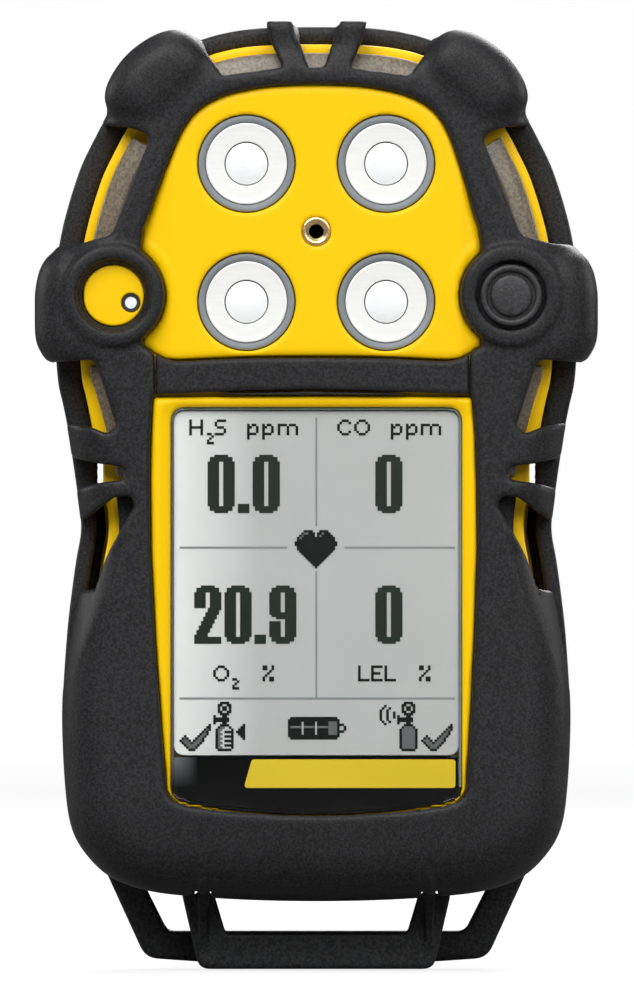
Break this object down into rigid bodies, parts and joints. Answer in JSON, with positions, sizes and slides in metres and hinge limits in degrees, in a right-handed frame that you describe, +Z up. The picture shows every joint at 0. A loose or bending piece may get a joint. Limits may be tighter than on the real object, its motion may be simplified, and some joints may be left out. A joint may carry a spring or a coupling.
{
  "type": "portable gas detector",
  "caption": "Hand-held gas detector in a rubber boot, with a display, round gas sensors, light bars, a push button, a latched battery pack and a belt clip.",
  "frame": {"origin": "centre of the bounding box's bottom face, under the bottom latch", "axes": "+X right seen from the front, -Y out of the display face, +Z up"},
  "size_m": [0.08, 0.047, 0.135],
  "materials": {
    "boot_rubber": "matte",
    "yellow_plastic": "satin",
    "black_plastic": "satin",
    "gasket_rubber": "matte",
    "gasket_grey": "matte",
    "steel": "brushed",
    "lens_glass": "polished",
    "label_black": "gloss",
    "display_grey": "satin",
    "white_plastic": "satin",
    "circuit_board": "satin",
    "chip_black": "matte",
    "sensor_can": "satin",
    "membrane": "matte",
    "brass": "polished",
    "light_diffuser": "frosted",
    "led": "gloss",
    "weight_metal": "machined",
    "dark_filter": "gloss",
    "cell_wrap": "gloss"
  },
  "bodies": {
    "housing": {"front_boot": "boot_rubber", "rear_boot": "boot_rubber", "display_crossbar": "boot_rubber", "strap_loop": "black_plastic", "front_shell": "yellow_plastic", "rear_shell": "yellow_plastic", "housing_gasket": "gasket_rubber", "shell_screws": "steel", "display_lens": "lens_glass", "display_label": "label_black", "display_glass": "display_grey", "display_frame": "white_plastic", "backlight_panel": "white_plastic", "main_board": "circuit_board", "board_components": "chip_black", "sensor_board": "circuit_board", "sensor_upper_left": "sensor_can", "sensor_upper_right": "sensor_can", "sensor_lower_left": "sensor_can", "sensor_lower_right": "sensor_can", "sensor_gaskets": "gasket_grey", "sensor_caps": "steel", "sensor_membranes": "membrane", "threaded_insert": "brass", "buzzer": "chip_black", "buzzer_seal": "gasket_rubber", "buzzer_cover": "yellow_plastic", "buzzer_vent": "steel", "light_bar_left": "light_diffuser", "light_bar_right": "light_diffuser", "light_bar_top": "light_diffuser", "alarm_leds": "led", "vibration_motor": "steel", "tact_switch": "chip_black", "supply_contacts": "brass", "charging_contacts": "brass", "ir_window": "dark_filter", "latch_pin": "steel", "clip_base": "steel", "clip_pin": "steel", "clip_spring": "steel", "clip_screws": "steel"},
    "button": {"button_cap": "boot_rubber", "button_plunger": "black_plastic"},
    "pack": {"battery_case": "yellow_plastic", "battery_cover": "black_plastic", "battery_cells": "cell_wrap", "battery_contacts": "brass"},
    "latch": {"battery_latch": "black_plastic"},
    "clip": {"clip_jaw": "steel", "clip_spring_arm": "steel"},
    "eccentric": {"motor_weight": "weight_metal"}
  },
  "joints": [
    {"name": "button_press", "type": "slide", "parent": "housing", "child": "button", "axis": [0, 1, 0], "range_m": [0, 0.001], "stiffness_N_per_m": 1500, "springref_m": -0.0012},
    {"name": "latch_hinge", "type": "hinge", "parent": "housing", "child": "latch", "pos_m": [0, -0.009, 0.0132], "axis": [-1, 0, 0], "range_deg": [0, 75]},
    {"name": "pack_slide", "type": "slide", "parent": "housing", "child": "pack", "axis": [0, 1, 0], "range_m": [0, 0.025]},
    {"name": "clip_hinge", "type": "hinge", "parent": "housing", "child": "clip", "pos_m": [0, 0.0176, 0.1165], "axis": [1, 0, 0], "range_deg": [0, 25], "stiffness_Nm_per_rad": 0.15, "springref_deg": -34.38},
    {"name": "eccentric_spin", "type": "hinge", "parent": "housing", "child": "eccentric", "pos_m": [0, 0.002, 0.1], "axis": [1, 0, 0], "continuous": true}
  ]
}
